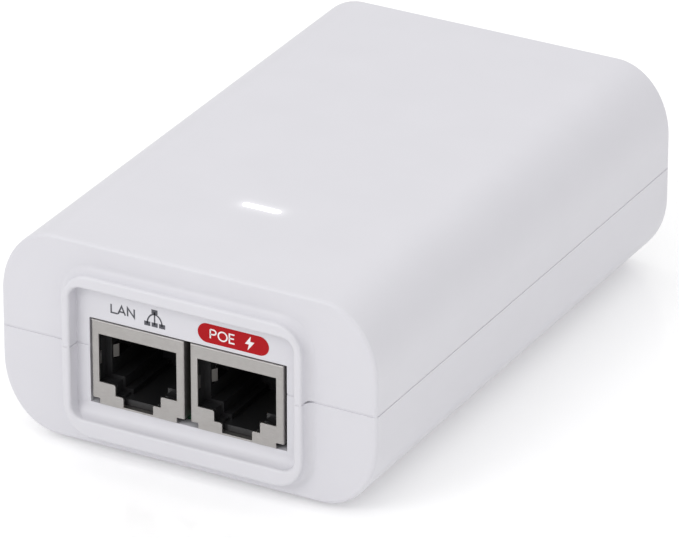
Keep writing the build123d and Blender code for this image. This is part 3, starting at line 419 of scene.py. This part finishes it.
GLYPHS = {
    "L": [[(0.0, 1.0), (0.0, 0.0), (0.68, 0.0)]],
    "A": [[(0.0, 0.0), (0.38, 1.0), (0.76, 0.0)], [(0.12, 0.31), (0.64, 0.31)]],
    "N": [[(0.0, 0.0), (0.0, 1.0), (0.70, 0.0), (0.70, 1.0)]],
    "P": [[(0.0, 0.0), (0.0, 1.0)], [(0.0, 1.0), (0.30, 1.0)] + arc((0.30, 0.73), 0.27, 0.27, 80, -80, 12)
          + [(0.30, 0.46), (0.0, 0.46)]],
    "O": [arc((0.44, 0.5), 0.44, 0.5, 90, 270), arc((0.44, 0.5), 0.44, 0.5, -90, 90)],
    "E": [[(0.52, 1.0), (0.0, 1.0), (0.0, 0.0), (0.52, 0.0)], [(0.0, 0.52), (0.46, 0.52)]],
}
GLYPH_WIDTHS = {"L": 0.48, "A": 0.76, "N": 0.70, "P": 0.57, "O": 0.88, "E": 0.52}


def lettering(text, left, base, width, height, stroke):
    """Strokes of plain capitals that fill the given width."""
    letters = sum(GLYPH_WIDTHS[letter] for letter in text) * height
    gap = (width - letters) / (len(text) - 1)
    loops = []
    cursor = left
    inner = height - stroke
    for letter in text:
        for line in GLYPHS[letter]:
            placed = [(cursor + x * height, base + stroke / 2 + z * inner) for x, z in line]
            loops.append(ribbon(placed, stroke))
        cursor += GLYPH_WIDTHS[letter] * height + gap
    return loops


def rectangle(x, z, width, height):
    return [(x - width / 2, z - height / 2), (x + width / 2, z - height / 2),
            (x + width / 2, z + height / 2), (x - width / 2, z + height / 2)]


def network_tree(left, base, width, height):
    """Generic network mark: a box above, three below, joined by a stem and an arch."""
    middle = left + width / 2
    box_width = width * TREE_BOX_WIDTH_SHARE
    box_height = height * TREE_BOX_HEIGHT_SHARE
    foot = base + box_height / 2
    head = base + height - box_height / 2
    reach = (width - box_width) / 2
    loops = [rectangle(middle, head, box_width, box_height)]
    loops += [rectangle(middle + side * reach, foot, box_width, box_height) for side in (-1, 0, 1)]
    loops.append(ribbon([(middle, head), (middle, foot)], TREE_LINE))
    arch = arc((middle, foot), reach, (head - foot) * TREE_ARCH_SHARE, 180, 0, 24)
    loops.append(ribbon(arch, TREE_LINE))
    return loops


def pill(left, base, width, height):
    radius = height / 2
    right_end = arc((left + width - radius, base + radius), radius, radius, -90, 90, 20)
    left_end = arc((left + radius, base + radius), radius, radius, 90, 270, 20)
    return right_end + left_end


def bolt(left, base, width, height):
    """Generic lightning mark."""
    shape = [(0.62, 1.0), (0.0, 0.42), (0.42, 0.42), (0.28, 0.0), (1.0, 0.62), (0.56, 0.62)]
    return [(left + x * width, base + z * height) for x, z in shape]


def make_labels():
    grey = ink("label_grey", GREY_INK)
    red = ink("label_red", RED_INK, 0.55)
    for material in (grey, red):
        material.node_tree.nodes["Principled BSDF"].inputs["Specular IOR Level"].default_value = INK_SHINE
    white = ink("label_white", WHITE_INK)
    text_base = jack_top_z + LABEL_BASE
    letters = lettering("LAN", LAN_TEXT_LEFT, text_base, LAN_TEXT_WIDTH, LAN_TEXT_HEIGHT, LAN_STROKE)
    flat_piece("lan_lettering", letters, grey)
    flat_piece("network_mark", network_tree(TREE_LEFT, jack_top_z + TREE_BASE, TREE_WIDTH, TREE_HEIGHT), grey)
    pill_base = jack_top_z + PILL_BASE
    flat_piece("poe_badge", [pill(PILL_LEFT, pill_base, PILL_WIDTH, PILL_HEIGHT)], red)
    text_base = pill_base + (PILL_HEIGHT - POE_TEXT_HEIGHT) / 2
    letters = lettering("POE", POE_TEXT_LEFT, text_base, POE_TEXT_WIDTH, POE_TEXT_HEIGHT, POE_STROKE)
    flat_piece("poe_lettering", letters, white, INK_THICKNESS)
    bolt_base = pill_base + (PILL_HEIGHT - BOLT_HEIGHT) / 2
    flat_piece("power_mark", [bolt(BOLT_LEFT, bolt_base, BOLT_WIDTH, BOLT_HEIGHT)], white, INK_THICKNESS)


# ---- Studio ----
CAMERA_AZIMUTH = 28.59
CAMERA_ELEVATION = 26.35
CAMERA_DISTANCE = 1.0286
CAMERA_LENS = 350.66
SENSOR_WIDTH = 36.0
CAMERA_NEAR = 0.01
CAMERA_FAR = 20
TARGET = Vector((-0.75 * MM, 0.0, 12.9 * MM))
FLOOR_GLOW = 0.17
FLOOR_HALF_SIZE = 6.0
FLOOR_GAP = 0.02 * MM             # floor to the feet
SKY_LOW = 0.72                    # strength at the horizon
SKY_HIGH = 1.0                    # strength overhead
LIGHT_TARGET = Vector((0, 0, 0.015))
LIGHTS = (                        # name, place, side of the square, power
    ("overhead", (-0.1, 0.15, 0.9), 1.2, 1.0),
    ("front_left", (-0.45, -1.0, 0.75), 0.6, 3.9),
    ("right", (1.1, -0.2, 0.5), 0.7, 0.75),
)


def make_floor():
    shader = Shader("floor_white")
    cloud = shader.noise(0.3, 2.0, 0.5)
    shader.set(Base_Color=shader.blend(cloud, (0.89, 0.89, 0.89), (0.91, 0.91, 0.91)), Roughness=0.12,
               Specular_IOR_Level=0.5, Emission_Color=WHITE, Emission_Strength=FLOOR_GLOW)
    mesh = bmesh.new()
    bmesh.ops.create_grid(mesh, x_segments=4, y_segments=4, size=FLOOR_HALF_SIZE)
    data = bpy.data.meshes.new("floor")
    mesh.to_mesh(data)
    mesh.free()
    floor = bpy.data.objects.new("floor", data)
    bpy.context.scene.collection.objects.link(floor)
    floor.location.z = cad_box[0][2] - FLOOR_GAP
    data.materials.append(shader.material)


def soft_light(name, place, side, power):
    lamp = bpy.data.lights.new(name, "AREA")
    lamp.shape = "RECTANGLE"
    lamp.size = side
    lamp.size_y = side
    lamp.energy = power
    light = bpy.data.objects.new(name, lamp)
    bpy.context.scene.collection.objects.link(light)
    light.location = place
    light.rotation_euler = (LIGHT_TARGET - Vector(place)).to_track_quat("-Z", "Y").to_euler()


def make_world():
    world = bpy.data.worlds.new("studio")
    bpy.context.scene.world = world
    world.use_nodes = True
    tree = world.node_tree
    background = tree.nodes["Background"]
    background.inputs["Color"].default_value = WHITE
    coords = tree.nodes.new("ShaderNodeTexCoord")
    split = tree.nodes.new("ShaderNodeSeparateXYZ")
    climb = tree.nodes.new("ShaderNodeMapRange")
    climb.inputs["To Min"].default_value = SKY_LOW
    climb.inputs["To Max"].default_value = SKY_HIGH
    tree.links.new(coords.outputs["Generated"], split.inputs[0])
    tree.links.new(split.outputs["Z"], climb.inputs["Value"])
    tree.links.new(climb.outputs["Result"], background.inputs["Strength"])


def make_lights():
    for name, place, side, power in LIGHTS:
        soft_light(name, place, side, power)


def make_camera():
    lens = bpy.data.cameras.new("camera")
    lens.lens = CAMERA_LENS
    lens.sensor_width = SENSOR_WIDTH
    lens.clip_start = CAMERA_NEAR
    lens.clip_end = CAMERA_FAR
    camera = bpy.data.objects.new("camera", lens)
    bpy.context.scene.collection.objects.link(camera)
    azimuth = math.radians(CAMERA_AZIMUTH)
    elevation = math.radians(CAMERA_ELEVATION)
    back = Vector((math.sin(azimuth) * math.cos(elevation), -math.cos(azimuth) * math.cos(elevation),
                   math.sin(elevation)))
    camera.location = TARGET + back * CAMERA_DISTANCE
    camera.rotation_euler = (-back).to_track_quat("-Z", "Y").to_euler()
    bpy.context.scene.camera = camera


dress_nodes(make_materials())
make_labels()
make_floor()
make_world()
make_lights()
make_camera()
bpy.context.scene.view_settings.view_transform = "Standard"
